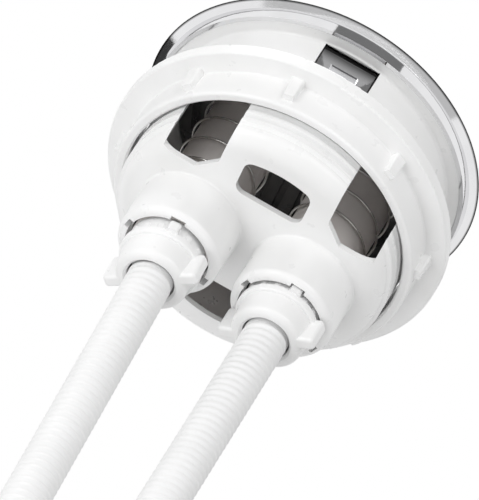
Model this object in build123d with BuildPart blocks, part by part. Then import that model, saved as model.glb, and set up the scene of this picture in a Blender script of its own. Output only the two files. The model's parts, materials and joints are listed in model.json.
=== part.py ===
"""Dual push button actuator for a toilet cistern.

A plated bezel and two plated buttons sit on the cistern lid. A white housing hangs through the lid
and is held by a locknut. Each button's sprung post ends in a winged collar and a long push rod.
Millimetres, +Z up through the buttons, origin on the axis where the bezel's skirt meets the lid.
"""

import os
from math import cos, radians, sin

from build123d import *

# Fits
running_gap = 0.35  # between pieces that move past each other
seat_gap = 0.3  # between a stop and the piece held under it
loose_gap = 0.5  # play of a collar's spigot in its post

# Bezel ring
bezel_crown = 5.2  # highest point above the lid
bezel_inner_height = 4.4  # edge of the button opening above the lid
rim_edge_height = 3.4  # widest point of the rim above the lid
rim_underside = 2.6  # top of the skirt above the lid
rim_overhang = 1.8
skirt_draft = 0.3
skirt_wall = 0.9
bridge_width = 3.0  # bar across the opening, between the two caps

# Snap arms of the bezel, below the lid plane
arm_width = 11.7
arm_thickness = 1.4
arm_length = 8.0
barb_reach = 0.7
barb_drop = 1.9
barb_height = 4.4
arm_slot_width = 6.4
arm_slot_height = 1.7
arm_slot_depth = 0.9
arm_slot_drop = 5.3

# Housing
flange_overhang = 2.6  # flange beyond the neck
flange_thickness = 2.0
flange_lift = 0.2  # flange underside above the lid plane
cove_radius = 0.7  # corner between the flange and the neck
neck_radius = 30.5
neck_wall = 2.2
neck_length = 9.3  # plain neck below the lid plane
thread_step = 0.8  # thread's crest inside the neck
thread_depth = 0.8
thread_pitch = 2.5
thread_root_width = 1.7
thread_crest_width = 0.7
wall = 1.2
housing_depth = 31.6  # bottom face below the lid plane
bottom_wall = 1.2
bottom_round_height = 3.4
bottom_margin = 0.1  # flat of the bottom beyond a boss
clip_window_drop = 0.1  # top of a clip window below the lid plane
clip_window_depth = 9.0  # bottom of a clip window below the lid plane
window_width = 11.5
window_margin = 2.2  # wall window from a boss, along Y
window_chamfer_x = 3.9
window_chamfer_y = 4.3
window_top = 15.5  # below the lid plane
slot_width = 15.0
slot_reach = 22.3  # slot's curved outer edge from the axis
slot_margin = 1.7  # slot from a boss, along Y
slot_rib = 5.0  # bar between a slot and a wall window
slot_corner = 2.2

# Guide bosses and posts
spring_gap = 7.5  # between the two springs
post_wall = 1.9
boss_wall = 1.95
boss_length = 12.1
boss_base_fillet = 0.5
boss_end_fillet = 1.6
mouth_depth = 2.5
side_notch_turn = 74.0  # degrees from a key notch to the plain notch before it
side_notch_depth = 0.95
side_notch_width = 2.2

# Buttons
button_travel = 8.0
cap_top = 4.5
cap_skin = 1.6
cap_wall = 1.5
cap_edge = 0.6
lip_overlap = 0.75  # how far a cap's lip reaches under the bezel
lip_thickness = 1.5
seat_cover = 0.9  # half flush cap beyond its spring, towards the bridge

# Springs
spring_wire = 0.5
spring_slack = 0.35  # coil's inside from the post
spring_turns = 4.5
spring_end_gap = 0.05
full_coil_angle = 242.0  # start of the wire, degrees from -Y towards +X
half_coil_angle = 302.0

# Collars
collar_neck_step = 0.2  # neck's side inside the post's side
collar_neck_height = 3.2
collar_overhang = 0.4  # flange beyond the post
collar_flange_height = 1.9
collar_edge = 0.5
collar_gap = 0.3  # flange top below the end of its boss
barrel_step = 0.7
barrel_length = 5.4
barrel_draft = 0.5
barrel_edge = 1.5
spigot_wall = 0.8
spigot_rise = 2.4  # spigot above the neck
mouth_flare = 0.6
wing_stand = 1.7  # beyond the flange
wing_thickness = 2.8
wing_drop = 0.3  # below the top of the flange
wing_height = 6.8
wing_edge = 0.8
full_wing_angle = 61.0  # degrees from -Y towards +X
half_wing_angle = 52.0
key_stand = 0.8  # beyond the flange
key_rise = 1.6  # above the top of the flange
key_width = 2.5
key_height = 2.2
key_edge = 0.7
key_lead = 56.0  # degrees from a wing to the key before it
tooth_count = 16
tooth_height = 1.2
tooth_width = 1.6
tooth_edge = 0.5
tooth_margin = 0.3  # tooth's outer end from the flange's edge
half_flush_drop = 1.8  # half flush collar lower under its boss
half_flush_lean = 2.3  # degrees, half flush collar and rod tilted inwards

# Push rods
rod_radius = 4.75
rod_reach = 100.0  # below the collar's mouth
rod_engagement = 3.0  # rod's upper end above the collar's flange
rod_edge = 0.6

# Locknut
lid_thickness = 12.9
nut_gap = 0.65  # bore from the thread's crest
nut_overhang = 4.45  # rim beyond the hub
nut_height = 10.6
nut_rim = 3.1
nut_rim_slope = 0.4  # rim's underside lower at the hub
nut_rim_edge = 0.5
hub_wall = 2.1
hub_fillet = 0.4  # in the corner under the rim
hub_edge = 0.7
hub_lead = 0.4
lug_angles = (-99.0, -50.5, -11.5, 33.5, 78.0, 124.0, 169.0, 214.0)  # degrees from -Y towards +X
lug_width = 3.1
lug_stand = 1.8  # beyond the hub
lug_foot = 2.1  # end of a lug above the nut's lower face
lug_edge = 0.7
lug_taper = 5.0  # degrees, narrower towards the foot

# Posts, springs and collars, outwards from the rods
rod_bore = rod_radius + running_gap
spigot_radius = rod_bore + spigot_wall
post_bore = spigot_radius + loose_gap
post_radius = post_bore + post_wall
spring_radius = post_radius + spring_slack + spring_wire / 2
spring_seat_radius = spring_radius + spring_wire / 2
post_spread = spring_seat_radius + spring_gap / 2
guide_bore = post_radius + running_gap
collar_neck_radius = post_radius - collar_neck_step
collar_flange_radius = post_radius + collar_overhang
collar_length = collar_flange_height + barrel_length
spigot_top = collar_neck_height + spigot_rise
barrel_radius = collar_flange_radius - barrel_step
wing_reach = collar_flange_radius + wing_stand
key_reach = collar_flange_radius + key_stand
mouth_radius = collar_flange_radius + running_gap
side_notch_reach = mouth_radius + side_notch_depth
boss_radius = mouth_radius + boss_wall
boss_end = -(housing_depth + boss_length)
boss_gap = 2 * (post_spread - boss_radius)
base_fillet = min(boss_base_fillet, boss_gap / 3)

# Flange, bezel and locknut, outwards from the neck
flange_radius = neck_radius + flange_overhang
flange_top = flange_lift + flange_thickness
skirt_bore = flange_radius + seat_gap
skirt_foot = skirt_bore + skirt_wall
skirt_radius = skirt_foot + skirt_draft
bezel_radius = skirt_radius + rim_overhang
thread_radius = neck_radius - thread_step
nut_bore = thread_radius + nut_gap
hub_radius = nut_bore + hub_wall
lug_reach = hub_radius + lug_stand
nut_radius = hub_radius + nut_overhang
nut_top = -lid_thickness
nut_bottom = nut_top - nut_height
rim_bottom = nut_top - nut_rim

# Caps and the housing's inside, inwards from the neck
neck_bore = neck_radius - neck_wall
arm_outer = neck_bore + arm_thickness
lip_radius = neck_bore - running_gap
opening_radius = lip_radius - lip_overlap
cap_radius = opening_radius - running_gap
cap_ceiling = cap_top - cap_skin
lip_top = flange_top - seat_gap
lip_bottom = lip_top - lip_thickness
lip_width = lip_radius - cap_radius
ledge_level = lip_bottom - button_travel - seat_gap
wall_radius = thread_radius - thread_depth
cavity_radius = wall_radius - wall
floor_level = bottom_wall - housing_depth
thread_bottom = housing_depth - bottom_round_height
bottom_flat = post_spread + boss_radius + bottom_margin
bottom_round_width = wall_radius - bottom_flat
window_edge = boss_radius + window_margin
window_inner = slot_width / 2 + slot_rib
slot_inner = boss_radius + slot_margin
spring_foot = floor_level + spring_end_gap
spring_head = lip_bottom - spring_end_gap
half_flush_face = seat_cover - spring_gap / 2
bridge_start = half_flush_face + running_gap
bridge_end = bridge_start + bridge_width
full_flush_face = bridge_end + running_gap

# The two flush sides: which way a side lies along X, its cap's face at the bridge and its collar
sides = {
    "full_flush": {
        "direction": 1,
        "face": full_flush_face,
        "drop": 0,
        "lean": 0,
        "wing_angle": full_wing_angle,
        "coil_angle": full_coil_angle,
    },
    "half_flush": {
        "direction": -1,
        "face": half_flush_face,
        "drop": half_flush_drop,
        "lean": half_flush_lean,
        "wing_angle": half_wing_angle,
        "coil_angle": half_coil_angle,
    },
}

os.makedirs("parts", exist_ok=True)


def post_x(side):
    """X of a side's post axis."""
    return side["direction"] * post_spread


def collar_top(side):
    """Level of the top of a side's collar flange."""
    return boss_end - collar_gap - side["drop"]


def collar_plane(side):
    """Plane at the top of a side's collar flange, tilted with the collar, local Z up its axis."""
    tilt = radians(side["lean"]) * side["direction"]
    return Plane(
        origin=(post_x(side), 0, collar_top(side)),
        x_dir=(cos(tilt), 0, -sin(tilt)),
        z_dir=(sin(tilt), 0, cos(tilt)),
    )


def bearing(angle):
    """Angle from local +X of a direction given in degrees from -Y towards +X."""
    return angle - 90


def post_end(side):
    """Level of the lower end of a side's post, clear of the neck of its leaning collar."""
    return collar_top(side) + collar_neck_height + post_radius * sin(radians(side["lean"]))


def segment(radius, face, direction, level):
    """Sketch of a disc cut off at a face across X, kept on the side the direction points to."""
    with BuildSketch(Plane.XY.offset(level)) as outline:
        Circle(radius)
        with Locations((face + direction * radius, 0)):
            Rectangle(2 * radius, 3 * radius, mode=Mode.INTERSECT)
    return outline.sketch


# Bezel: the ring section turned about the axis, a bridge across its opening, then two snap arms
with BuildPart() as bezel:
    with BuildSketch(Plane.XZ):
        with BuildLine():
            Polyline(
                (bezel_radius, rim_edge_height),
                (skirt_radius, rim_underside),
                (skirt_foot, 0),
                (skirt_bore, 0),
                (skirt_bore, flange_top),
                (opening_radius, flange_top),
                (opening_radius, bezel_inner_height),
            )
            ThreePointArc(
                (opening_radius, bezel_inner_height),
                ((opening_radius + bezel_radius) / 2, bezel_crown),
                (bezel_radius, rim_edge_height),
            )
        make_face()
    revolve(axis=Axis.Z)
    with BuildSketch(Plane.XY.offset(flange_top)):
        with Locations(((bridge_start + bridge_end) / 2, 0)):
            Rectangle(bridge_width, opening_radius + skirt_bore)
    extrude(amount=bezel_inner_height - flange_top)
    with BuildSketch(Plane.YZ):
        with BuildLine():
            Polyline(
                (-neck_bore, flange_top + seat_gap),
                (-neck_bore, -arm_length),
                (-arm_outer, -arm_length),
                (-arm_outer, -barb_drop - barb_height),
                (-arm_outer - barb_reach, -barb_drop),
                (-arm_outer, -barb_drop),
                (-arm_outer, flange_top + seat_gap),
                close=True,
            )
        make_face()
        mirror(about=Plane.YZ)
    extrude(amount=arm_width / 2, both=True)
    near_slot = Plane.XZ.offset(arm_outer + barb_reach)
    far_slot = Plane.XZ.offset(arm_slot_depth - arm_outer)
    for slot_plane in (near_slot, far_slot):
        with BuildSketch(slot_plane):
            with Locations((0, -arm_slot_drop)):
                RectangleRounded(arm_slot_width, arm_slot_height, arm_slot_height / 4)
        extrude(amount=-(barb_reach + arm_slot_depth), mode=Mode.SUBTRACT)
bezel.part.label = "chrome_bezel"
export_step(bezel.part, "parts/chrome_bezel.step")


# Housing: flange, neck, ridged wall and floor in one turned section, then bosses and openings
neck_end = neck_length + neck_radius - wall_radius
ridge_count = int((thread_bottom - neck_end) / thread_pitch)
ridge_slope = (thread_root_width - thread_crest_width) / 2
ridge_points = []
for ridge in reversed(range(ridge_count)):
    ridge_foot = ridge * thread_pitch - thread_bottom
    ridge_points += [
        (wall_radius, ridge_foot + thread_root_width),
        (thread_radius, ridge_foot + thread_root_width - ridge_slope),
        (thread_radius, ridge_foot + ridge_slope),
        (wall_radius, ridge_foot),
    ]

with BuildPart() as housing:
    with BuildSketch(Plane.XZ):
        with BuildLine():
            CenterArc(
                (neck_radius + cove_radius, flange_lift - cove_radius),
                cove_radius,
                start_angle=90,
                arc_size=90,
            )
            Polyline(
                (neck_radius, flange_lift - cove_radius),
                (neck_radius, -neck_length),
                (wall_radius, -neck_end),
                *ridge_points,
            )
            EllipticalCenterArc(
                (bottom_flat, -thread_bottom),
                bottom_round_width,
                bottom_round_height,
                start_angle=270,
                arc_size=90,
            )
            Polyline(
                (bottom_flat, -housing_depth),
                (0, -housing_depth),
                (0, floor_level),
                (bottom_flat, floor_level),
            )
            EllipticalCenterArc(
                (bottom_flat, -thread_bottom),
                bottom_round_width - wall,
                bottom_round_height - bottom_wall,
                start_angle=270,
                arc_size=90,
            )
            Polyline(
                (cavity_radius, -thread_bottom),
                (cavity_radius, ledge_level),
                (neck_bore, ledge_level),
                (neck_bore, flange_top),
                (flange_radius, flange_top),
                (flange_radius, flange_lift),
                (neck_radius + cove_radius, flange_lift),
            )
        make_face()
    revolve(axis=Axis.Z)
    with BuildSketch(Plane.XY.offset(boss_end)):
        with GridLocations(2 * post_spread, 0, 2, 1):
            Circle(boss_radius)
    extrude(amount=boss_length + bottom_wall / 2)
    boss_rims = housing.edges().filter_by(GeomType.CIRCLE)
    fillet(boss_rims.filter_by_position(Axis.Z, boss_end, boss_end), boss_end_fillet)
    fillet(boss_rims.filter_by_position(Axis.Z, -housing_depth, -housing_depth).sort_by(SortBy.RADIUS)[:2],
           base_fillet)
    for side in sides.values():
        key_angle = side["wing_angle"] - key_lead
        with BuildSketch(Plane.XY.offset(boss_end)):
            with Locations((post_x(side), 0)):
                Circle(mouth_radius)
                Rectangle(2 * (key_reach + running_gap), key_width + 2 * running_gap,
                          rotation=bearing(key_angle))
                Rectangle(2 * side_notch_reach, side_notch_width,
                          rotation=bearing(key_angle - side_notch_turn))
        extrude(amount=mouth_depth, mode=Mode.SUBTRACT)
        with BuildSketch(Plane.XY.offset(boss_end)):
            with Locations((post_x(side), 0)):
                Circle(guide_bore)
        extrude(amount=floor_level - boss_end, mode=Mode.SUBTRACT)
    with BuildSketch(Plane.XY.offset(-housing_depth)) as slots:
        with GridLocations(0, slot_inner + slot_reach, 1, 2):
            Rectangle(slot_width, slot_reach - slot_inner)
        Circle(slot_reach, mode=Mode.INTERSECT)
        fillet(slots.vertices(), slot_corner)
    extrude(amount=bottom_wall, mode=Mode.SUBTRACT)
    with BuildSketch(Plane.XY.offset(-housing_depth)):
        with BuildLine():
            Polyline(
                (window_inner, window_edge + window_chamfer_y),
                (window_inner + window_chamfer_x, window_edge),
                (window_inner + window_width, window_edge),
                (window_inner + window_width, neck_radius),
                (window_inner, neck_radius),
                close=True,
            )
        make_face()
        mirror(about=Plane.XZ)
        mirror(about=Plane.YZ)
    extrude(amount=housing_depth - window_top, mode=Mode.SUBTRACT)
    with BuildSketch(Plane.XZ):
        with Locations((0, -clip_window_drop)):
            Rectangle(arm_width + 2 * running_gap, clip_window_depth - clip_window_drop,
                      align=(Align.CENTER, Align.MAX))
    extrude(amount=flange_radius, both=True, mode=Mode.SUBTRACT)
    with BuildSketch(Plane.XY.offset(-clip_window_drop)):
        Rectangle(arm_width + 2 * running_gap, 2 * (arm_outer + running_gap))
    extrude(amount=flange_top + clip_window_drop, mode=Mode.SUBTRACT)
housing.part.label = "housing"
export_step(housing.part, "parts/housing.step")


# Locknut: a turned section of rim and hub, with finger ribs in the corner under the rim
with BuildPart() as locknut:
    with BuildSketch(Plane.XZ):
        with BuildLine():
            FilletPolyline(
                (nut_bore, nut_top),
                (nut_radius, nut_top),
                (nut_radius, rim_bottom),
                (hub_radius, rim_bottom - nut_rim_slope),
                (hub_radius, nut_bottom),
                (nut_bore + hub_lead, nut_bottom),
                (nut_bore, nut_bottom + hub_lead),
                radius=[nut_rim_edge, nut_rim_edge, hub_fillet, hub_edge, 0],
            )
            Line((nut_bore, nut_bottom + hub_lead), (nut_bore, nut_top))
        make_face()
    revolve(axis=Axis.Z)
    lug_root = (nut_bore + hub_radius) / 2
    with BuildSketch(Plane.XY.offset(rim_bottom)):
        for lug_angle in lug_angles:
            with PolarLocations((lug_root + lug_reach) / 2, 1, start_angle=bearing(lug_angle)):
                RectangleRounded(lug_reach - lug_root, lug_width, lug_edge)
    extrude(amount=nut_bottom + lug_foot - rim_bottom, taper=lug_taper)
locknut.part.label = "locknut"
export_step(locknut.part, "parts/locknut.step")


# Buttons: a hollow cap with a lip all round, with a spring seat and a tubular post under it
for name, side in sides.items():
    direction = side["direction"]
    cap_face = side["face"]
    with BuildPart() as button:
        with BuildSketch(Plane.XY.offset(lip_bottom)):
            Circle(cap_radius)
        extrude(amount=cap_top - lip_bottom)
        split(bisect_by=Plane.YZ.offset(cap_face), keep=Keep.TOP if direction > 0 else Keep.BOTTOM)
        fillet(button.faces().sort_by(Axis.Z)[-1].edges(), cap_edge)
        extrude(
            segment(lip_radius, cap_face - direction * lip_width, direction, lip_bottom),
            amount=lip_thickness,
        )
        extrude(
            segment(cap_radius - cap_wall, cap_face + direction * cap_wall, direction, lip_bottom),
            amount=cap_ceiling - lip_bottom,
            mode=Mode.SUBTRACT,
        )
        with BuildSketch(Plane.XY.offset(lip_bottom)):
            with Locations((post_x(side), 0)):
                Circle(spring_seat_radius)
            Circle(cap_radius, mode=Mode.INTERSECT)
        extrude(amount=cap_ceiling - lip_bottom)
        with BuildSketch(Plane.XY.offset(post_end(side))):
            with Locations((post_x(side), 0)):
                Circle(post_radius)
        extrude(amount=cap_ceiling - post_end(side))
        with BuildSketch(Plane.XY.offset(post_end(side))):
            with Locations((post_x(side), 0)):
                Circle(post_bore)
        extrude(amount=cap_ceiling - post_end(side), mode=Mode.SUBTRACT)
    button.part.label = f"{name}_button"
    export_step(button.part, f"parts/{name}_button.step")


# Springs: round wire swept up a helix, from the housing's floor to the seat under the cap
for name, side in sides.items():
    coil_angle = radians(bearing(side["coil_angle"]))
    coil_height = spring_head - spring_foot - spring_wire
    coil_plane = Plane(
        origin=(post_x(side), 0, spring_foot + spring_wire / 2),
        x_dir=(cos(coil_angle), sin(coil_angle), 0),
        z_dir=(0, 0, 1),
    )
    with BuildPart() as spring:
        with BuildLine(coil_plane) as coil:
            Helix(pitch=coil_height / spring_turns, height=coil_height, radius=spring_radius)
        with BuildSketch(Plane(origin=coil.line @ 0, z_dir=coil.line % 0)):
            Circle(spring_wire / 2)
        sweep(path=coil.line, is_frenet=True)
    spring.part.label = f"{name}_spring"
    export_step(spring.part, f"parts/{name}_spring.step")


# Collars: two wings, a turned neck, flange and barrel, two keys, a ring of teeth, then the bore
for name, side in sides.items():
    plane = collar_plane(side)
    collar_axis = Axis(plane.origin, plane.z_dir)
    collar_section = Plane(origin=plane.origin, x_dir=plane.x_dir, z_dir=-plane.y_dir)
    with BuildPart() as collar:
        with BuildSketch(plane.offset(-wing_drop)):
            Rectangle(2 * wing_reach, wing_thickness, rotation=bearing(side["wing_angle"]))
        extrude(amount=-wing_height)
        fillet(collar.edges(), wing_edge)
        with BuildSketch(collar_section):
            with BuildLine():
                FilletPolyline(
                    (0, spigot_top),
                    (spigot_radius, spigot_top),
                    (spigot_radius, collar_neck_height),
                    (collar_neck_radius, collar_neck_height),
                    (collar_neck_radius, 0),
                    (collar_flange_radius, 0),
                    (collar_flange_radius, -collar_flange_height),
                    (barrel_radius, -collar_flange_height),
                    (barrel_radius - barrel_draft, -collar_length),
                    (0, -collar_length),
                    radius=[0, 0, 0, 0, collar_edge, collar_edge, 0, barrel_edge],
                )
                Line((0, -collar_length), (0, spigot_top))
            make_face()
        revolve(axis=collar_axis)
        with BuildSketch(plane.offset(key_rise)):
            RectangleRounded(
                2 * key_reach,
                key_width,
                key_edge,
                rotation=bearing(side["wing_angle"] - key_lead),
            )
        extrude(amount=-key_height)
        tooth_root = (spigot_radius + collar_neck_radius) / 2
        tooth_tip = collar_flange_radius - tooth_margin
        with BuildSketch(plane):
            with PolarLocations((tooth_root + tooth_tip) / 2, tooth_count):
                RectangleRounded(tooth_tip - tooth_root, tooth_width, tooth_edge)
        extrude(amount=tooth_height)
        with BuildSketch(collar_section):
            with BuildLine():
                Polyline(
                    (0, spigot_top),
                    (rod_bore, spigot_top),
                    (rod_bore, mouth_flare - collar_length),
                    (rod_bore + mouth_flare, -collar_length),
                    (0, -collar_length),
                    close=True,
                )
            make_face()
        revolve(axis=collar_axis, mode=Mode.SUBTRACT)
    collar.part.label = f"{name}_collar"
    export_step(collar.part, f"parts/{name}_collar.step")


# Push rods: plain round bars from inside the posts to their free ends
for name, side in sides.items():
    with BuildPart() as rod:
        with BuildSketch(collar_plane(side).offset(rod_engagement)):
            Circle(rod_radius)
        extrude(amount=-(rod_engagement + collar_length + rod_reach))
        chamfer(rod.edges().filter_by(GeomType.CIRCLE), rod_edge)
    rod.part.label = f"{name}_rod"
    export_step(rod.part, f"parts/{name}_rod.step")
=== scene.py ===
# %% [markdown]
# # A dual push button for a toilet cistern, seen from below
# The real object sits in the lid of a cistern. A plated ring and two plated buttons show on top.
# Below the lid hang a white housing, a locknut, two sprung posts and two long threaded push rods.
# The solids come from a CAD model, which gives every place and size. Blender adds what a solid model
# leaves out: the rods' thread, soft moulded edges, springs of round wire, finishes, light and a camera.

# %% Load the CAD model as a fixed frame
import json
from functools import partial
from math import cos, pi, radians, sin

import bmesh
import bpy
from mathutils import Matrix, Vector


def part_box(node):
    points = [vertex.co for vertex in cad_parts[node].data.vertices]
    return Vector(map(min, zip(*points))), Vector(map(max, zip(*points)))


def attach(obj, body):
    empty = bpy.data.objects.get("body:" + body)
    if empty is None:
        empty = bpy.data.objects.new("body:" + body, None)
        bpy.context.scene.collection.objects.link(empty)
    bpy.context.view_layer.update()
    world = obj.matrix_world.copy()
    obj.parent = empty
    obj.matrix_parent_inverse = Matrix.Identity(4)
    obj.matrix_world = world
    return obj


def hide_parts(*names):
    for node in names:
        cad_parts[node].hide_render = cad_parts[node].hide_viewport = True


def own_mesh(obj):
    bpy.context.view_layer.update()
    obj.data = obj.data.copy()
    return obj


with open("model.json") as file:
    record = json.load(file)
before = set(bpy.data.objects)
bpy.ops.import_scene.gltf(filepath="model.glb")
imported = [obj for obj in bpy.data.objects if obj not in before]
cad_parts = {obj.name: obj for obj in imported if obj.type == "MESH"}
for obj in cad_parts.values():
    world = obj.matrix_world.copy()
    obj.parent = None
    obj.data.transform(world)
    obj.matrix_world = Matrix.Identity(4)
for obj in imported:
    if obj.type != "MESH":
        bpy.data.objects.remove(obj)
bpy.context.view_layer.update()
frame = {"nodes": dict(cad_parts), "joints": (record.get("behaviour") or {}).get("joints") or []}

scene = bpy.context.scene
MM = 0.001
joints = {joint["name"]: joint for joint in frame["joints"]}


print("CAD nodes:", sorted(frame["nodes"]))

# %% [markdown]
# ## Camera
# A product picture is taken from far away with a long lens, so that round rims stay round ellipses.
# A camera can be aimed with a Track To constraint, but this one is also rolled about its own line of
# sight, so its three directions are worked out and written into its matrix. The focal length is known
# in pixels of the picture, which is 479 by 500, and turned into millimetres for a 36 mm sensor along
# the longer side. The model's origin falls on a known pixel, so the aim is shifted to bring it there.

# %% The camera's directions
CAMERA_AZIMUTH, CAMERA_ELEVATION, CAMERA_ROLL = radians(4.2), radians(-45.3), radians(32.45)

to_camera = Vector((sin(CAMERA_AZIMUTH) * cos(CAMERA_ELEVATION),
                    -cos(CAMERA_AZIMUTH) * cos(CAMERA_ELEVATION),
                    sin(CAMERA_ELEVATION)))
level_right = Vector((cos(CAMERA_AZIMUTH), sin(CAMERA_AZIMUTH), 0))
level_up = to_camera.cross(level_right)
picture_right = level_right * cos(CAMERA_ROLL) + level_up * sin(CAMERA_ROLL)
picture_up = level_up * cos(CAMERA_ROLL) - level_right * sin(CAMERA_ROLL)
print("direction to the camera:", [round(value, 3) for value in to_camera])

# %% Place the camera
PICTURE_WIDTH, PICTURE_HEIGHT = 479, 500
ORIGIN_PIXEL = (305.5, 154.2)
FOCAL_PIXELS = 7888
SENSOR = 36
CAMERA_DISTANCE = 1.6
CLIP_NEAR, CLIP_FAR = 0.1, 20

eye = to_camera * CAMERA_DISTANCE
metres_per_pixel = CAMERA_DISTANCE / FOCAL_PIXELS
shift_right = (ORIGIN_PIXEL[0] - PICTURE_WIDTH / 2) * metres_per_pixel
shift_up = (PICTURE_HEIGHT / 2 - ORIGIN_PIXEL[1]) * metres_per_pixel
aim = -(picture_right * shift_right + picture_up * shift_up)
forward = (aim - eye).normalized()
side = forward.cross(picture_up).normalized()
turn = Matrix((side, side.cross(forward), -forward)).transposed()

camera = bpy.data.objects.new("camera", bpy.data.cameras.new("camera"))
scene.collection.objects.link(camera)
camera.matrix_world = Matrix.Translation(eye) @ turn.to_4x4()
camera.data.sensor_width = SENSOR
camera.data.lens = FOCAL_PIXELS * SENSOR / PICTURE_HEIGHT
camera.data.clip_start, camera.data.clip_end = CLIP_NEAR, CLIP_FAR
scene.camera = camera
print("camera lens in mm:", round(camera.data.lens, 1), "at", [round(value, 3) for value in eye])

# %% [markdown]
# ## Studio
# White things on a white ground need shadow to be read. The world is white where the camera, a
# reflection or clear plastic looks at it, and dimmer where it lights the object, so the background
# stays white while the mouldings keep their soft grey sides. A white backdrop card could do the same,
# but only for one view. The floor lies far below, because this object is looked at from underneath.

# %% Helpers for nodes
def add_node(tree, kind, values=None, **settings):
    """Adds a node, sets its properties, then its input sockets by name."""
    node = tree.nodes.new(kind)
    for key, value in settings.items():
        setattr(node, key, value)
    for key, value in (values or {}).items():
        node.inputs[key].default_value = value
    return node


def link(tree, *pairs):
    """Joins each pair of an output socket and an input socket."""
    for output, socket in pairs:
        tree.links.new(output, socket)


def calculate(tree, operation, *terms):
    """A Math node on one to three terms, each a socket or a number. Returns its result."""
    node = add_node(tree, "ShaderNodeMath", operation=operation)
    for socket, term in zip(node.inputs, terms):
        if isinstance(term, bpy.types.NodeSocket):
            tree.links.new(term, socket)
        else:
            socket.default_value = term
    return node.outputs[0]


def looked_at_directly(tree):
    """A socket that is 1 for rays from the camera, off a gloss or through clear plastic, else 0."""
    path = add_node(tree, "ShaderNodeLightPath").outputs
    seen = calculate(tree, "MAXIMUM", path["Is Camera Ray"], path["Is Glossy Ray"])
    return calculate(tree, "MAXIMUM", seen, path["Is Transmission Ray"])


# %% White world
WORLD_LIGHT = 0.6
world = bpy.data.worlds.new("white_studio")
world.use_nodes = True
scene.world = world
sky = world.node_tree
background = sky.nodes["Background"]
background.inputs["Color"].default_value = (1, 1, 1, 1)
strength = add_node(sky, "ShaderNodeMapRange", {"To Min": WORLD_LIGHT, "To Max": 1.0})
link(sky,
     (looked_at_directly(sky), strength.inputs["Value"]),
     (strength.outputs[0], background.inputs["Strength"]))
scene.view_settings.view_transform = "Standard"
print("world light on surfaces:", WORLD_LIGHT)

# %% Helpers for materials and stage cards
def new_finish(name, **constants):
    """A material with its Principled shader's constants set. Returns material, tree and shader."""
    finish = bpy.data.materials.new(name)
    finish.use_nodes = True
    shader = finish.node_tree.nodes["Principled BSDF"]
    for key, value in constants.items():
        shader.inputs[key].default_value = value
    return finish, finish.node_tree, shader


def card(name, centre, across, up, half_width, half_height, finish):
    """A flat stage card with its middle at a point and its sides along two directions."""
    corners = [centre + across * half_width * x + up * half_height * y
               for x, y in ((-1, -1), (1, -1), (1, 1), (-1, 1))]
    mesh = bpy.data.meshes.new(name)
    mesh.from_pydata(corners, [], [(0, 1, 2, 3)])
    mesh.materials.append(finish)
    plate = bpy.data.objects.new(name, mesh)
    scene.collection.objects.link(plate)
    return plate


# %% Pale floor far below
FLOOR_LEVEL = -3.6
FLOOR_HALF = 4.0
floor_finish, floor_tree, floor_shader = new_finish("pale_floor", Roughness=0.9)
floor_place = add_node(floor_tree, "ShaderNodeTexCoord")
floor_clouds = add_node(floor_tree, "ShaderNodeTexNoise", {"Scale": 2.0, "Detail": 2.0})
floor_grey = add_node(floor_tree, "ShaderNodeMapRange", {"To Min": 0.84, "To Max": 0.88})
floor_glow = add_node(floor_tree, "ShaderNodeEmission", {"Strength": 1.0})
floor_mix = add_node(floor_tree, "ShaderNodeMixShader")
link(floor_tree,
     (floor_place.outputs["Object"], floor_clouds.inputs["Vector"]),
     (floor_clouds.outputs[0], floor_grey.inputs["Value"]),
     (floor_grey.outputs[0], floor_shader.inputs["Base Color"]),
     (looked_at_directly(floor_tree), floor_mix.inputs[0]),
     (floor_shader.outputs[0], floor_mix.inputs[1]),
     (floor_glow.outputs[0], floor_mix.inputs[2]),
     (floor_mix.outputs[0], floor_tree.nodes["Material Output"].inputs["Surface"]))
card("floor", Vector((0, 0, FLOOR_LEVEL)), Vector((1, 0, 0)), Vector((0, 1, 0)),
     FLOOR_HALF, FLOOR_HALF, floor_finish)
print("floor at", FLOOR_LEVEL, "m")

# %% [markdown]
# ## Lamps
# The picture's light comes from its upper left and a little from its right, so what turns away to the
# lower right is grey. A lamp below lights the bottom, but the nut keeps its light from the flange.
# Point lamps would be simpler, but a small lamp throws hard shadows, so all are large area lamps. A
# last lamp lights the buttons on top, which the camera doesn't see here but other views do.

# %% Place the lamps
LAMP_DISTANCE = 1.8
LAMP_SIZE = 0.9


def soft_lamp(name, direction, watts):
    """A square area lamp that looks at the origin from a direction."""
    lamp = bpy.data.objects.new(name, bpy.data.lights.new(name, "AREA"))
    scene.collection.objects.link(lamp)
    lamp.data.size = LAMP_SIZE
    lamp.data.energy = watts
    lamp.location = direction.normalized() * LAMP_DISTANCE
    lamp.rotation_euler = direction.to_track_quat("Z", "Y").to_euler()
    print(name, watts, "W")


# Each lamp's direction from the origin and its power
LAMPS = {
    "key_lamp": (picture_right * -0.5 + picture_up * 0.5 + to_camera * 0.6, 9),
    "fill_lamp": (picture_right * 0.6 + picture_up * 0.4 + to_camera * 0.7, 7.5),
    "low_lamp": (Vector((-0.25, -0.1, -1.0)), 7),
    "top_lamp": (Vector((-0.4, -0.3, 1.0)), 9),
}
for name, (direction, watts) in LAMPS.items():
    soft_lamp(name, direction, watts)

# %% [markdown]
# ## Flags for the plating
# Bright plating shows only what it reflects, and in an all white room it would vanish. A studio hangs
# black and grey flags where the plating should show a dark line. Here a flag is a card that only
# reflections see, so it hides nothing, throws no shadow and takes no light from the plastic. The flag
# behind the object draws the dark outline of the rim, because a rim's edge mirrors what is behind it,
# and the left one darkens the rim on that side. The front one puts a dark patch on the skirt, with a
# paler strip for the barb of the snap arm. The one below is pale and only greys what faces down.

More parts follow.
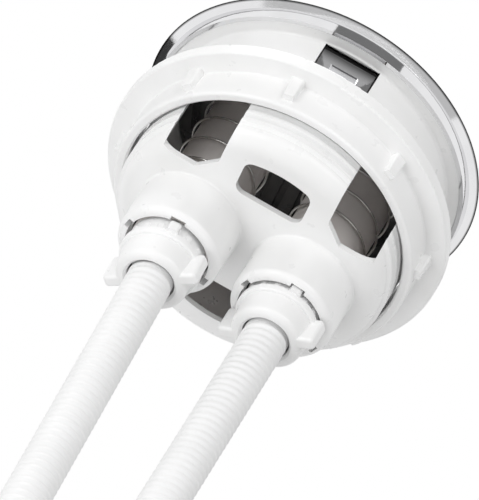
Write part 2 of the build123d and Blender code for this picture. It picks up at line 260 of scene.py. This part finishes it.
# %% Hang the flags
def flag(name, direction, half_width, half_height, shade):
    """A card a metre from the origin that shows only in reflections, from 0, black, to 1, white."""
    finish, tree, _ = new_finish(name)
    glow = add_node(tree, "ShaderNodeEmission", {"Color": (shade, shade, shade, 1), "Strength": 1.0})
    link(tree, (glow.outputs[0], tree.nodes["Material Output"].inputs["Surface"]))
    towards = direction.normalized()
    across = towards.cross(Vector((0, 0, 1))).normalized()
    plate = card(name, towards, across, across.cross(towards), half_width, half_height, finish)
    plate.visible_camera = False
    plate.visible_diffuse = False
    plate.visible_transmission = False
    plate.visible_shadow = False
    print(name, "with a shade of", shade)


# Each flag's direction from the origin, half width, half height and shade
FLAGS = {
    "flag_behind": (-to_camera, 0.3, 0.3, 0.01),
    "flag_left": (Vector((-0.52, 0.78, -0.35)), 0.24, 0.2, 0.05),
    "flag_front": (Vector((0.03, -0.76, 0.65)), 0.36, 0.19, 0.2),
    "flag_barb": (Vector((0.03, -0.895, 0.443)), 0.36, 0.058, 0.45),
    "flag_below": (Vector((0.02, 0.01, -1.0)), 0.5, 0.5, 0.6),
}
for name, values in FLAGS.items():
    flag(name, *values)

# %% [markdown]
# ## Finishes
# Eight finishes cover the object: two white plastics, five platings, two of them wholly painted shade, and
# a spring wire. A real surface is never one flat colour. A photograph could be wrapped round each piece,
# but that needs every piece flattened first. Noise on Object coordinates needs no such map. They are
# metres on this model, so a noise scale of 1000 has features of about a millimetre.

# %% Helpers for finishes
NOISE_DETAIL = 3.0
NOISE_LOW, NOISE_HIGH = 0.3, 0.7


def object_place(tree):
    """The Object coordinates of a finish."""
    return add_node(tree, "ShaderNodeTexCoord").outputs["Object"]


def noise(tree, vector, scale, low, high):
    """A noise on a vector, with its usual values spread from low to high."""
    pattern = add_node(tree, "ShaderNodeTexNoise", {"Scale": scale, "Detail": NOISE_DETAIL})
    spread = add_node(tree, "ShaderNodeMapRange", {"From Min": NOISE_LOW, "From Max": NOISE_HIGH,
                                                   "To Min": low, "To Max": high})
    link(tree, (vector, pattern.inputs["Vector"]), (pattern.outputs[0], spread.inputs["Value"]))
    return spread.outputs[0]


def tint(tree, amount, dark, light):
    """A colour between two, by an amount from 0 to 1."""
    blend = add_node(tree, "ShaderNodeMix", data_type="RGBA")
    blend.inputs["A"].default_value = (*dark, 1)
    blend.inputs["B"].default_value = (*light, 1)
    link(tree, (amount, blend.inputs["Factor"]))
    return blend.outputs["Result"]


def grain(tree, shader, height, depth):
    """Bumps a shader's surface by a height pattern, to a depth in metres."""
    bump = add_node(tree, "ShaderNodeBump", {"Strength": 1.0, "Distance": depth})
    link(tree, (height, bump.inputs["Height"]), (bump.outputs[0], shader.inputs["Normal"]))


# %% [markdown]
# ### White plastics
# The housing, the nut and the collars are moulded in a satin white, and the rods in a duller one. A
# Principled shader with one white would do for a plain picture, but moulded plastic has faint clouds,
# a satin that varies and a fine grain, so each of these is a noise with a size of its own.

# %% Two white plastics
def moulded(name, dark, light, satin, cloud_scale, satin_scale, grain_scale, grain_depth):
    """A plastic between two colours and two roughnesses, with a fine grain."""
    finish, tree, shader = new_finish(name)
    place = object_place(tree)
    link(tree,
         (tint(tree, noise(tree, place, cloud_scale, 0, 1), dark, light), shader.inputs["Base Color"]),
         (noise(tree, place, satin_scale, *satin), shader.inputs["Roughness"]))
    grain(tree, shader, noise(tree, place, grain_scale, 0, 1), grain_depth)
    print("finish:", name)
    return finish


white_moulding = moulded("white_moulding", dark=(0.86, 0.86, 0.855), light=(0.91, 0.91, 0.91),
                         satin=(0.26, 0.42), cloud_scale=70, satin_scale=260,
                         grain_scale=5000, grain_depth=0.004 * MM)
white_rod = moulded("white_rod", dark=(0.84, 0.84, 0.84), light=(0.88, 0.88, 0.88),
                    satin=(0.45, 0.6), cloud_scale=90, satin_scale=300,
                    grain_scale=4000, grain_depth=0.006 * MM)

# %% [markdown]
# ### Platings
# The ring and the caps are plastic under a thin bright metal, a mirror with fine wiping marks. The
# posts look duller and warmer. The inside of the housing gets a grey plating and the undersides of the
# caps and the bar a nearly black one, and both are painted shade. Light alone could make these, but in a
# white room a mirror stays white. So one function makes every plating, and they differ in colour, in
# roughness and in how metallic they are.

# %% The plating's function
TARNISH_SCALE = 120
GLOSS_SCALE = 180
WIPING_SCALE = 400
WIPING_STRETCH = (1.0, 14.0, 5.0)
WIPING_DEPTH = 0.001 * MM
# The black that is mixed in as painted shade and as a painted dark reflection
PAINTED_DARK_COLOUR = (0.02, 0.02, 0.02, 1)


def stretched(tree, vector, scale):
    """A vector scaled along its axes, to draw a pattern out into lines."""
    mapping = add_node(tree, "ShaderNodeMapping", {"Scale": scale})
    link(tree, (vector, mapping.inputs["Vector"]))
    return mapping.outputs[0]


def plated(name, dark, light, roughness, metal=1.0, shadow=None):
    """A plating between two colours and two roughnesses, with fine wiping marks.

    A shadow is a function that gives, from the place, how far the colour goes to black: painted shade.
    """
    finish, tree, shader = new_finish(name, Metallic=metal)
    place = object_place(tree)
    colour = tint(tree, noise(tree, place, TARNISH_SCALE, 0, 1), dark, light)
    # Painted shade: the colour goes to black where the shadow function says
    if shadow:
        blacken = add_node(tree, "ShaderNodeMix", data_type="RGBA")
        blacken.inputs["B"].default_value = PAINTED_DARK_COLOUR
        link(tree, (colour, blacken.inputs["A"]), (shadow(tree, place), blacken.inputs["Factor"]))
        colour = blacken.outputs["Result"]
    link(tree,
         (colour, shader.inputs["Base Color"]),
         (noise(tree, place, GLOSS_SCALE, *roughness), shader.inputs["Roughness"]))
    wiping = noise(tree, stretched(tree, place, WIPING_STRETCH), WIPING_SCALE, 0, 1)
    grain(tree, shader, wiping, WIPING_DEPTH)
    print("finish:", name)
    return finish


# %% Plating for the caps and the posts, and painted shade for the inside of the housing and the undersides
BRIGHT = {"dark": (0.76, 0.76, 0.77), "light": (0.82, 0.82, 0.83), "roughness": (0.04, 0.08)}
chrome_plate = plated("chrome_plate", **BRIGHT)
dull_plate = plated("dull_plate", dark=(0.86, 0.82, 0.795), light=(0.92, 0.88, 0.855),
                    roughness=(0.4, 0.48), metal=0.1)
# Grey plating for the inside of the white housing: painted shade
painted_shade_inside = plated("painted_shade_inside", dark=(0.8, 0.77, 0.755), light=(0.86, 0.83, 0.815),
                     roughness=(0.24, 0.34), metal=0.35)
# Nearly black plating for the undersides of the caps and the bar: painted shade
painted_shade_plate = plated("painted_shade_plate", dark=(0.1, 0.1, 0.1), light=(0.14, 0.14, 0.14), roughness=(0.2, 0.3))

# %% [markdown]
# ### The bezel's plating
# Two places on the ring are painted dark: a painted shadow at the root of each snap arm, where little
# light gets in, and a painted dark reflection, a fine line under the edge of the rim. A flag could draw
# them, but the rim is too thin there to mirror one. So the colour goes to black by the height and by the
# distance from the axis.

# %% Plating with a painted shadow and a painted dark reflection for the bezel
# Where the painted shadow at the arm roots and the painted dark reflection under the rim lie
ARM_SHADOW = (-5.0 * MM, -1.0 * MM)
ARM_TOP = 0.0
RIM_PAINTED_REFLECTION = (35.8 * MM, 36.3 * MM)
RIM_EDGE = 3.45 * MM


def smooth_step(tree, value, low, high):
    """0 below one value, 1 above another, with a soft step between them."""
    step = add_node(tree, "ShaderNodeMapRange", {"From Min": low, "From Max": high},
                    interpolation_type="SMOOTHSTEP")
    link(tree, (value, step.inputs["Value"]))
    return step.outputs[0]


def bezel_painted_shade_and_reflection(tree, place):
    """1 for painted shadow at the snap arms' roots and painted reflection under the rim's edge, else 0."""
    maths = partial(calculate, tree)
    parts = add_node(tree, "ShaderNodeSeparateXYZ")
    link(tree, (place, parts.inputs[0]))
    x, y, z = parts.outputs
    radius = maths("SQRT", maths("ADD", maths("POWER", x, 2.0), maths("POWER", y, 2.0)))
    # Painted shadow at the roots of the snap arms
    arm = maths("MULTIPLY", smooth_step(tree, z, *ARM_SHADOW), maths("LESS_THAN", z, ARM_TOP))
    # Painted dark reflection under the outer edge of the rim
    rim = maths("MULTIPLY", smooth_step(tree, radius, *RIM_PAINTED_REFLECTION), maths("LESS_THAN", z, RIM_EDGE))
    return maths("MAXIMUM", arm, rim)


# The bezel's plating, with its painted shadow and painted reflection
bezel_plate = plated("bezel_plate", **BRIGHT, shadow=bezel_painted_shade_and_reflection)

# %% [markdown]
# ### Spring wire
# Steel wire is drawn through a die, which leaves fine lines and a gloss that changes along the wire.
# A UV map could follow the wire, but the spring's nodes can store each point's distance along it as an
# attribute, and a material reads that by its name.

# %% Drawn spring wire
WIRE_ATTRIBUTE = "along_wire"
WIRE_DARK, WIRE_LIGHT = (0.56, 0.55, 0.53), (0.7, 0.69, 0.67)
WIRE_ROUGHNESS = (0.2, 0.34)
WIRE_CLOUD_SCALE, WIRE_GLOSS_SCALE = 500, 90
DIE_SCALE, DIE_STRETCH, DIE_DEPTH = 2500, (1.0, 1.0, 8.0), 0.003 * MM
spring_wire, tree, shader = new_finish("spring_wire", Metallic=1.0)
place = object_place(tree)
wire_clouds = noise(tree, place, WIRE_CLOUD_SCALE, 0, 1)
wire_line = add_node(tree, "ShaderNodeCombineXYZ")
wire_gloss = noise(tree, wire_line.outputs[0], WIRE_GLOSS_SCALE, *WIRE_ROUGHNESS)
along = add_node(tree, "ShaderNodeAttribute", attribute_name=WIRE_ATTRIBUTE).outputs["Fac"]
link(tree,
     (tint(tree, wire_clouds, WIRE_DARK, WIRE_LIGHT), shader.inputs["Base Color"]),
     (along, wire_line.inputs["X"]),
     (wire_gloss, shader.inputs["Roughness"]))
grain(tree, shader, noise(tree, stretched(tree, place, DIE_STRETCH), DIE_SCALE, 0, 1), DIE_DEPTH)
print("finish:", spring_wire.name)

# %% [markdown]
# ## Moulded and plated pieces
# The CAD solids have the right shape, but their small edges are knife sharp, as no moulding's are.
# Rounding every edge in CAD is slow and often fails. A Bevel modifier on a merged copy does it in one
# step and catches the light along each edge. A piece that has its large roundings in CAD already gets
# only even shading. Each copy stands for its CAD node and rides its body.

# %% A merged copy of a CAD node
FLUSHES = ("full_flush", "half_flush")
MERGE_DISTANCE = 0.001 * MM
FLAT_ANGLE = radians(0.5)
SHARP_ANGLE = radians(32)


def merged_copy(node_name, body, finishes, choose=None):
    """A copy of a CAD node with its triangles joined. Choose gives a face's finish by its corners."""
    mesh = frame["nodes"][node_name].data.copy()
    mesh.name = node_name + "_soft"
    mesh.materials.clear()
    for finish in finishes:
        mesh.materials.append(finish)
    work = bmesh.new()
    work.from_mesh(mesh)
    bmesh.ops.remove_doubles(work, verts=work.verts, dist=MERGE_DISTANCE)
    for face in work.faces:
        face.material_index = choose([corner.co for corner in face.verts]) if choose else 0
    bmesh.ops.dissolve_limit(work, angle_limit=FLAT_ANGLE, verts=work.verts, edges=work.edges,
                             delimit={"MATERIAL"})
    work.to_mesh(mesh)
    work.free()
    if "custom_normal" in mesh.attributes:
        mesh.attributes.remove(mesh.attributes["custom_normal"])
    mesh.shade_smooth()
    mesh.set_sharp_from_angle(angle=SHARP_ANGLE)
    piece = bpy.data.objects.new(node_name + "_soft", mesh)
    scene.collection.objects.link(piece)
    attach(piece, body)
    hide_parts(node_name)
    print(piece.name, len(mesh.polygons), "faces,", len(finishes), "finishes")
    return piece


# %% Soft edges and even shading
BEVEL_SEGMENTS = 3


def soften(piece, edge, share=None):
    """Rounds a piece's sharp edges by a width in metres, or by the share of it that a rule gives."""
    work = bmesh.new()
    work.from_mesh(piece.data)
    weight = work.edges.layers.float.new("bevel_weight_edge")
    for line in work.edges:
        if line.is_manifold and line.calc_face_angle() > SHARP_ANGLE:
            line[weight] = share((line.verts[0].co + line.verts[1].co) / 2) if share else 1.0
    work.to_mesh(piece.data)
    work.free()
    bevel = piece.modifiers.new("soft_edges", "BEVEL")
    bevel.width = edge
    bevel.segments = BEVEL_SEGMENTS
    bevel.limit_method = "WEIGHT"
    bevel.harden_normals = True


def shade_evenly(piece):
    """Lets a piece's large flat faces set the shading, so that sharp edges stay clean."""
    even = piece.modifiers.new("even_shading", "WEIGHTED_NORMAL")
    even.keep_sharp = True


# %% [markdown]
# ### Housing
# The housing is the white body that hangs through the lid. Its windows and slots show a dark inside,
# so the inside faces get a grey plating, which is painted shade on the one white moulding. A thin liner
# could be a second piece, but the two skins would lie in the same place and flicker. So each face of the
# one piece is given its finish by where its corners are.

# %% The housing, white outside with painted shade inside
CAVITY_RADIUS = 27.8 * MM
FLOOR_TOP = -30.5 * MM


def inside_housing(corners):
    """1 for a face on the wall or floor inside the housing, else 0."""
    return int(all(corner.z > FLOOR_TOP and corner.xy.length < CAVITY_RADIUS for corner in corners))


# The inside faces take the grey plating, painted shade
housing = merged_copy("housing", "housing",
                      [white_moulding, painted_shade_inside], inside_housing)
shade_evenly(housing)

# %% [markdown]
# ### The flange inside the bezel
# The housing's flange lies inside the bezel's skirt. The solids keep a clearance there, so that they
# never touch, but on the real object no gap is seen. A wider flange in CAD would lose that clearance.
# So only the outer corners of the copy are moved out a little, and the CAD node keeps its shape.

# %% Widen the flange towards the bezel's skirt
FLANGE_RADIUS, WIDER_RADIUS = 33.1 * MM, 33.3 * MM
CORNER_MARGIN = 0.01 * MM
flange_edge = [corner for corner in housing.data.vertices
               if corner.co.xy.length > FLANGE_RADIUS - CORNER_MARGIN]
for corner in flange_edge:
    corner.co.xy *= WIDER_RADIUS / FLANGE_RADIUS
print("flange corners moved out:", len(flange_edge))

# %% [markdown]
# ### Locknut and collars
# The locknut clamps the housing to the lid from below, and a winged collar holds each rod in its post.
# They could share one bevel, but the nut has its roundings in CAD, and the collars' small teeth and
# wings need one that is much narrower than they are.

# %% The locknut and the collars
COLLAR_EDGE = 0.1 * MM
shade_evenly(merged_copy("locknut", "locknut", [white_moulding]))
for flush in FLUSHES:
    collar = merged_copy(flush + "_collar", flush + "_button", [white_moulding])
    soften(collar, COLLAR_EDGE)

# %% [markdown]
# ### Bezel and buttons
# The bezel is the ring that shows on the lid, with a bar across its opening. Each button is one
# moulding, a cap on a hollow post. They could be cut apart to take more than one plating, but choosing
# by height keeps each one whole. The outer edge of the rim is the roundest, so it gets the whole bevel
# and the other edges a share of it.

# %% The bezel
CAP_CEILING = 3.0 * MM
OPENING_RADIUS = 28.0 * MM
RIM_RADIUS = 36.0 * MM
BEZEL_EDGE = 0.3 * MM
INNER_SHARE = 0.4


def under_bridge(corners):
    """1 for the underside of the bar between the caps, else 0."""
    return int(all(0 < corner.z < CAP_CEILING and corner.xy.length < OPENING_RADIUS
                   for corner in corners))


def rim_share(middle):
    """The whole width on the bezel's outer edge, and less of it on its other edges."""
    return 1.0 if middle.xy.length > RIM_RADIUS else INNER_SHARE


# The underside of the bar takes the nearly black plating, painted shade
bezel = merged_copy("chrome_bezel", "housing", [bezel_plate, painted_shade_plate], under_bridge)
soften(bezel, BEZEL_EDGE, rim_share)

# %% The buttons, with dull posts and painted shade under the caps
POST_TOP = -1.0 * MM
BUTTON_EDGE = 0.12 * MM


def under_cap(corners):
    """1 for a face that reaches down a post, 2 for the underside of a cap, else 0."""
    heights = [corner.z for corner in corners]
    if min(heights) < POST_TOP:
        return 1
    return 2 if max(heights) < CAP_CEILING else 0


for flush in FLUSHES:
    button = flush + "_button"
    # The undersides of the caps take the nearly black plating, painted shade
    finishes = [chrome_plate, dull_plate, painted_shade_plate]
    soften(merged_copy(button, button, finishes, under_cap), BUTTON_EDGE)

# %% [markdown]
# ## Threaded push rods
# A push rod is a plastic bar with a shallow round thread along its whole length, so that it can be
# screwed in or out. It could be a Screw modifier on a zigzag, but then its ends are hard to close.
# Here Geometry Nodes roll a flat grid into a tube whose radius swells along a helix, and pull the
# first and last rows to the axis, so each end is closed by the same rule.

# %% Geometry Nodes helpers
def new_tree(name, *sizes):
    """A node group with a number input for each size. Returns the tree, its inputs and identifiers."""
    tree = bpy.data.node_groups.new(name, "GeometryNodeTree")
    tree.interface.new_socket("Geometry", in_out="OUTPUT", socket_type="NodeSocketGeometry")
    identifiers = {}
    for size in sizes:
        socket = tree.interface.new_socket(size, in_out="INPUT", socket_type="NodeSocketFloat")
        identifiers[size] = socket.identifier
    return tree, tree.nodes.new("NodeGroupInput").outputs, identifiers


def finish_tree(tree, geometry, material):
    """Ends a tree with smooth shading, Realize Instances and Set Material."""
    smooth = add_node(tree, "GeometryNodeSetShadeSmooth")
    real = add_node(tree, "GeometryNodeRealizeInstances")
    paint = add_node(tree, "GeometryNodeSetMaterial", {"Material": material})
    out = tree.nodes.new("NodeGroupOutput")
    link(tree,
         (geometry, smooth.inputs["Geometry"]),
         (smooth.outputs[0], real.inputs[0]),
         (real.outputs[0], paint.inputs["Geometry"]),
         (paint.outputs[0], out.inputs[0]))
    print(tree.name, "has", len(tree.nodes), "nodes")


def grown(name, tree, identifiers, sizes, place):
    """A plain mesh object made by a tree with given sizes, with its place in its mesh."""
    seed = bpy.data.objects.new(name + "_seed", bpy.data.meshes.new(name + "_seed"))
    scene.collection.objects.link(seed)
    modifier = seed.modifiers.new("grow", "NODES")
    modifier.node_group = tree
    for size, value in sizes.items():
        modifier[identifiers[size]] = value
    seed.update_tag()
    bpy.context.view_layer.update()
    evaluated = seed.evaluated_get(bpy.context.evaluated_depsgraph_get())
    mesh = bpy.data.meshes.new_from_object(evaluated)
    bpy.data.objects.remove(seed)
    mesh.name = name
    mesh.transform(place)
    piece = bpy.data.objects.new(name, mesh)
    scene.collection.objects.link(piece)
    print(name, len(mesh.polygons), "faces")
    return piece


# %% The rod's tree: a grid, and the height of each of its rows
ROD_SIDES = 48
ROD_ROWS = 620
HALF_GRID = 0.5
rod_tree, size_in, rod_inputs = new_tree("threaded_rod", "Length", "Radius", "Thread depth", "Pitch",
                                         "End chamfer")
rod_maths = partial(calculate, rod_tree)
grid = add_node(rod_tree, "GeometryNodeMeshGrid", {"Size X": 2 * HALF_GRID, "Size Y": 2 * HALF_GRID,
                                                   "Vertices X": ROD_SIDES + 1, "Vertices Y": ROD_ROWS + 1})
where = add_node(rod_tree, "ShaderNodeSeparateXYZ")
link(rod_tree, (add_node(rod_tree, "GeometryNodeInputPosition").outputs[0], where.inputs[0]))
around = rod_maths("ADD", where.outputs["X"], HALF_GRID)
row = rod_maths("MULTIPLY", rod_maths("ADD", where.outputs["Y"], HALF_GRID), ROD_ROWS)
inner_row = rod_maths("MULTIPLY", rod_maths("SUBTRACT", row, 1.0), 1 / (ROD_ROWS - 2))
held_row = rod_maths("MINIMUM", rod_maths("MAXIMUM", inner_row, 0.0), 1.0)
height = rod_maths("MULTIPLY", held_row, size_in["Length"])
print("rod grid:", ROD_SIDES, "by", ROD_ROWS, "faces")

# %% The rod's tree: a radius with a thread, chamfered and closed at the ends
HALF_ROW = 0.5
turns = rod_maths("SUBTRACT", rod_maths("DIVIDE", height, size_in["Pitch"]), around)
wave = rod_maths("COSINE", rod_maths("MULTIPLY", turns, 2 * pi))
valley = rod_maths("MULTIPLY", rod_maths("SUBTRACT", 1.0, wave), 0.5)
cut = rod_maths("MULTIPLY", valley, size_in["Thread depth"])
thread_radius = rod_maths("SUBTRACT", size_in["Radius"], cut)
from_end = rod_maths("MINIMUM", height, rod_maths("SUBTRACT", size_in["Length"], height))
tip_radius = rod_maths("SUBTRACT", size_in["Radius"], size_in["End chamfer"])
bar_radius = rod_maths("MINIMUM", thread_radius, rod_maths("ADD", from_end, tip_radius))
rows_from_end = rod_maths("MINIMUM", row, rod_maths("SUBTRACT", float(ROD_ROWS), row))
rod_radius = rod_maths("MULTIPLY", bar_radius, rod_maths("GREATER_THAN", rows_from_end, HALF_ROW))
print("the rod's radius takes", len(rod_tree.nodes), "nodes")

# %% The rod's tree: roll the grid into a tube
angle = rod_maths("MULTIPLY", around, 2 * pi)
rolled = add_node(rod_tree, "ShaderNodeCombineXYZ")
roll = add_node(rod_tree, "GeometryNodeSetPosition")
close = add_node(rod_tree, "GeometryNodeMergeByDistance", {"Distance": MERGE_DISTANCE})
link(rod_tree,
     (rod_maths("MULTIPLY", rod_radius, rod_maths("COSINE", angle)), rolled.inputs["X"]),
     (rod_maths("MULTIPLY", rod_radius, rod_maths("SINE", angle)), rolled.inputs["Y"]),
     (height, rolled.inputs["Z"]),
     (grid.outputs["Mesh"], roll.inputs["Geometry"]),
     (rolled.outputs[0], roll.inputs["Position"]),
     (roll.outputs[0], close.inputs["Geometry"]))
finish_tree(rod_tree, close.outputs[0], white_rod)

# %% Two rods in their places
straight_low, straight_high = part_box("full_flush_rod")
rod_sizes = {
    "Length": straight_high.z - straight_low.z,
    "Radius": (straight_high.x - straight_low.x) / 2,
    "Thread depth": 0.28 * MM,
    "Pitch": 1.8 * MM,
    "End chamfer": 0.6 * MM,
}
rod_above_collar = straight_high.z - joints["full_flush_rod_turn"]["pos_m"][2]
for flush in FLUSHES:
    joint = joints[flush + "_rod_turn"]
    up = Vector(joint["axis"]).normalized()
    foot = Vector(joint["pos_m"]) + up * (rod_above_collar - rod_sizes["Length"])
    stand = Matrix.Translation(foot) @ up.to_track_quat("Z", "Y").to_matrix().to_4x4()
    rod = grown(flush + "_threaded_rod", rod_tree, rod_inputs, rod_sizes, stand)
    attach(rod, flush + "_rod")
    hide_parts(flush + "_rod")

# %% [markdown]
# ## Return springs
# Each post is pushed back up by a spring of round wire. A Screw modifier could sweep a circle up a
# helix, but a spring is a path with a round section, which is just what the Spiral and Curve to Mesh
# nodes make.

# %% The spring's tree
COIL_STEPS = 56
WIRE_SIDES = 14
spring_tree, size_in, spring_inputs = new_tree("coil_spring", "Turns", "Coil radius", "Height",
                                               "Wire radius", "Start angle")
coil = add_node(spring_tree, "GeometryNodeCurveSpiral", {"Resolution": COIL_STEPS})
upright = add_node(spring_tree, "GeometryNodeSetCurveNormal", mode="Z_UP")
length = add_node(spring_tree, "GeometryNodeSplineParameter")
mark = add_node(spring_tree, "GeometryNodeStoreNamedAttribute", {"Name": WIRE_ATTRIBUTE},
                data_type="FLOAT", domain="POINT")
section = add_node(spring_tree, "GeometryNodeCurvePrimitiveCircle", {"Resolution": WIRE_SIDES})
wire = add_node(spring_tree, "GeometryNodeCurveToMesh", {"Fill Caps": True})
spin = add_node(spring_tree, "GeometryNodeTransform")
start = add_node(spring_tree, "ShaderNodeCombineXYZ")
link(spring_tree,
     (size_in["Turns"], coil.inputs["Rotations"]),
     (size_in["Coil radius"], coil.inputs["Start Radius"]),
     (size_in["Coil radius"], coil.inputs["End Radius"]),
     (size_in["Height"], coil.inputs["Height"]),
     (size_in["Wire radius"], section.inputs["Radius"]),
     (size_in["Start angle"], start.inputs["Z"]),
     (coil.outputs[0], upright.inputs[0]),
     (upright.outputs[0], mark.inputs["Geometry"]),
     (length.outputs["Length"], mark.inputs["Value"]),
     (mark.outputs[0], wire.inputs["Curve"]),
     (section.outputs[0], wire.inputs["Profile Curve"]),
     (wire.outputs[0], spin.inputs["Geometry"]),
     (start.outputs[0], spin.inputs["Rotation"]))
finish_tree(spring_tree, spin.outputs[0], spring_wire)

# %% Two springs in their places
WIRE_RADIUS = 0.25 * MM
SPRING_TURNS = 4.5
START_ANGLES = {"full_flush": radians(152), "half_flush": radians(212)}
for flush, start_angle in START_ANGLES.items():
    low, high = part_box(flush + "_spring")
    spring_length = high.z - low.z
    spring_sizes = {
        "Turns": SPRING_TURNS,
        "Coil radius": (high.y - low.y) / 2 - WIRE_RADIUS,
        "Height": spring_length - 2 * WIRE_RADIUS,
        "Wire radius": WIRE_RADIUS,
        "Start angle": start_angle,
    }
    stand = Matrix.Translation(((low.x + high.x) / 2, (low.y + high.y) / 2, low.z + WIRE_RADIUS))
    spring = grown(flush + "_coil", spring_tree, spring_inputs, spring_sizes, stand)
    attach(spring, "housing")
    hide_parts(flush + "_spring")
    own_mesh(spring)
